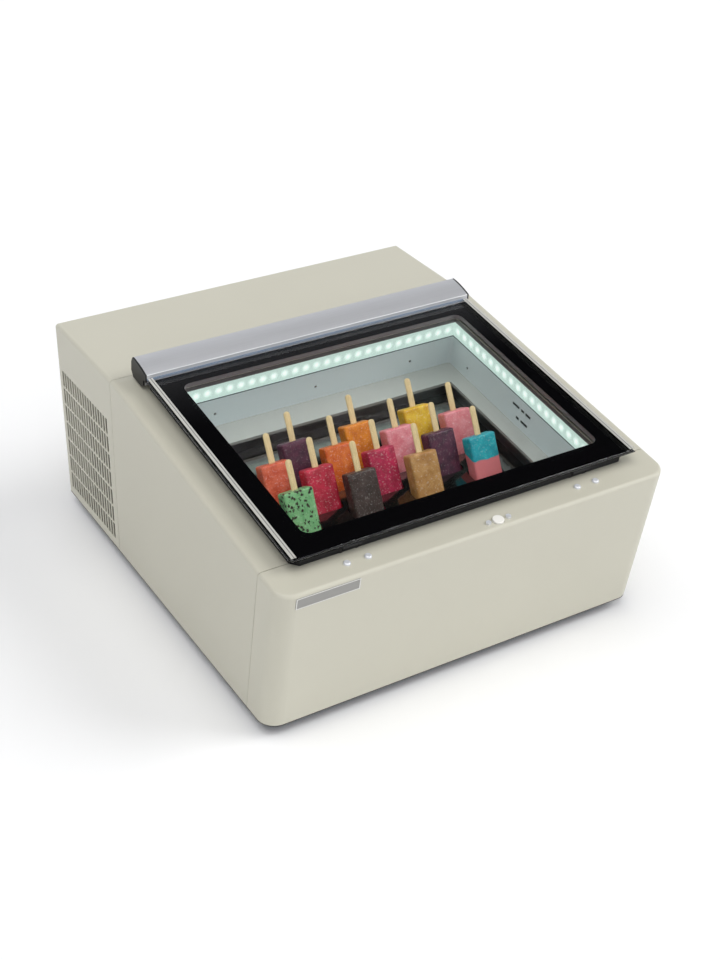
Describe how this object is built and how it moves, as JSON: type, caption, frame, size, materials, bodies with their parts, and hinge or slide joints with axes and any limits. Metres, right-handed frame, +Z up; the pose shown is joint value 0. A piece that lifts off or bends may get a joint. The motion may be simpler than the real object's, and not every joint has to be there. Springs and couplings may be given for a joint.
{
  "type": "ice pop display freezer",
  "caption": "Countertop freezer that shows ice pops in a lit well under a hinged glass lid, with a bar handle and a vented machine room behind.",
  "frame": {"origin": "centre of the footprint of the whole object, on the surface it stands on", "axes": "+Z up, -Y towards the person at the front panel, +X to that person's right"},
  "size_m": [0.6, 0.6937, 0.3455],
  "materials": {
    "black_pan": "matt black powder coat",
    "rubber_feet": "matt",
    "cream_paint": "warm white semi-gloss powder coat",
    "plate_silver": "satin, blank",
    "screw_steel": "polished",
    "black_plastic": "fine grain",
    "hinge_steel": "black",
    "clear_glass": "clear tempered",
    "black_frit": "fired enamel seen through the pane",
    "black_frame": "extruded",
    "spacer_grey": "satin",
    "seal_rubber": "ribbed",
    "silver_aluminium": "satin anodised",
    "lens_plastic": "frosted, lit from behind",
    "board_white": "solder-mask white",
    "liner_paint": "pale blue-grey",
    "polished_steel": "polished",
    "tub_steel": "satin",
    "birch_wood": "sanded birch",
    "foam": "rigid foam",
    "copper": "drawn copper",
    "black_steel": "black enamel",
    "fin_aluminium": "mill finish",
    "motor_aluminium": "cast",
    "key_plastic": "soft",
    "ice_mint": "frozen, lightly frosted",
    "ice_chocolate": "frozen, lightly frosted",
    "ice_caramel": "frozen, lightly frosted",
    "ice_turquoise": "frozen, lightly frosted",
    "ice_crimson": "frozen, lightly frosted",
    "ice_magenta": "frozen, lightly frosted",
    "ice_plum": "frozen, lightly frosted",
    "ice_coral": "frozen, lightly frosted",
    "ice_orange": "frozen, lightly frosted",
    "ice_rose": "frozen, lightly frosted",
    "ice_peach": "frozen, lightly frosted",
    "ice_amber": "frozen, lightly frosted",
    "ice_lemon": "frozen, lightly frosted"
  },
  "bodies": {
    "cabinet": {"base_pan": "black_pan", "feet": "rubber_feet", "front_panel": "cream_paint", "cabinet_wrap": "cream_paint", "rear_cover": "cream_paint", "rear_panel": "cream_paint", "nameplate": "plate_silver", "deck_screws": "screw_steel", "button_screws": "screw_steel", "light_switch": "black_plastic", "hinge_bases": "hinge_steel", "hinge_pins": "screw_steel", "led_lenses": "lens_plastic", "light_channel": "spacer_grey", "led_boards": "board_white", "well_liner": "liner_paint", "steel_ledge": "polished_steel", "display_tub": "tub_steel", "rack_rails": "tub_steel", "rack_plate": "polished_steel", "pop_sticks": "birch_wood", "insulation": "foam", "evaporator_coil": "copper", "compressor": "black_steel", "condenser": "fin_aluminium", "fan_shroud": "black_steel", "fan_motor": "motor_aluminium", "refrigerant_pipes": "copper", "controller_case": "black_plastic", "switch_frame": "black_plastic", "power_inlet": "black_plastic", "ice_pop_01": "ice_mint", "ice_pop_02": "ice_chocolate", "ice_pop_03": "ice_caramel", "ice_pop_04": "ice_turquoise", "ice_pop_05": "ice_crimson", "ice_pop_06": "ice_magenta", "ice_pop_07": "ice_plum", "ice_pop_08": "ice_coral", "ice_pop_09": "ice_orange", "ice_pop_10": "ice_rose", "ice_pop_11": "ice_peach", "ice_pop_12": "ice_plum", "ice_pop_13": "ice_amber", "ice_pop_14": "ice_lemon"},
    "lid": {"outer_glass": "clear_glass", "glass_border": "black_frit", "inner_glass": "clear_glass", "spacer": "spacer_grey", "lid_frame": "black_frame", "gasket": "seal_rubber", "side_rails": "silver_aluminium", "handle": "silver_aluminium", "handle_caps": "black_plastic", "hinge_blocks": "hinge_steel"},
    "light_button": {"light_button": "screw_steel"},
    "fan_rotor": {"fan_rotor": "black_plastic"},
    "power_rocker": {"power_rocker": "black_plastic"},
    "key_set": {"key_set": "key_plastic"},
    "key_light": {"key_light": "key_plastic"}
  },
  "joints": [
    {"name": "lid_hinge", "type": "hinge", "parent": "cabinet", "child": "lid", "pos_m": [0, -0.30698, 0.2687], "axis": [1, 0, 0], "range_deg": [0, 75]},
    {"name": "light_button_push", "type": "slide", "parent": "cabinet", "child": "light_button", "axis": [0, 0.1262, -0.992], "range_m": [0, 0.0025], "stiffness_N_per_m": 400, "springref_m": -0.002},
    {"name": "fan_spin", "type": "hinge", "parent": "cabinet", "child": "fan_rotor", "pos_m": [-0.212, 0.253, 0.1015], "axis": [1, 0, 0], "continuous": true},
    {"name": "rocker_tilt", "type": "hinge", "parent": "cabinet", "child": "power_rocker", "pos_m": [0.17, 0.34, 0.11], "axis": [0, 0, 1], "range_deg": [0, 14]},
    {"name": "key_set_push", "type": "slide", "parent": "cabinet", "child": "key_set", "axis": [0, -1, 0], "range_m": [0, 0.0008], "stiffness_N_per_m": 400, "springref_m": -0.001},
    {"name": "key_light_push", "type": "slide", "parent": "cabinet", "child": "key_light", "axis": [0, -1, 0], "range_m": [0, 0.0008], "stiffness_N_per_m": 400, "springref_m": -0.001}
  ]
}
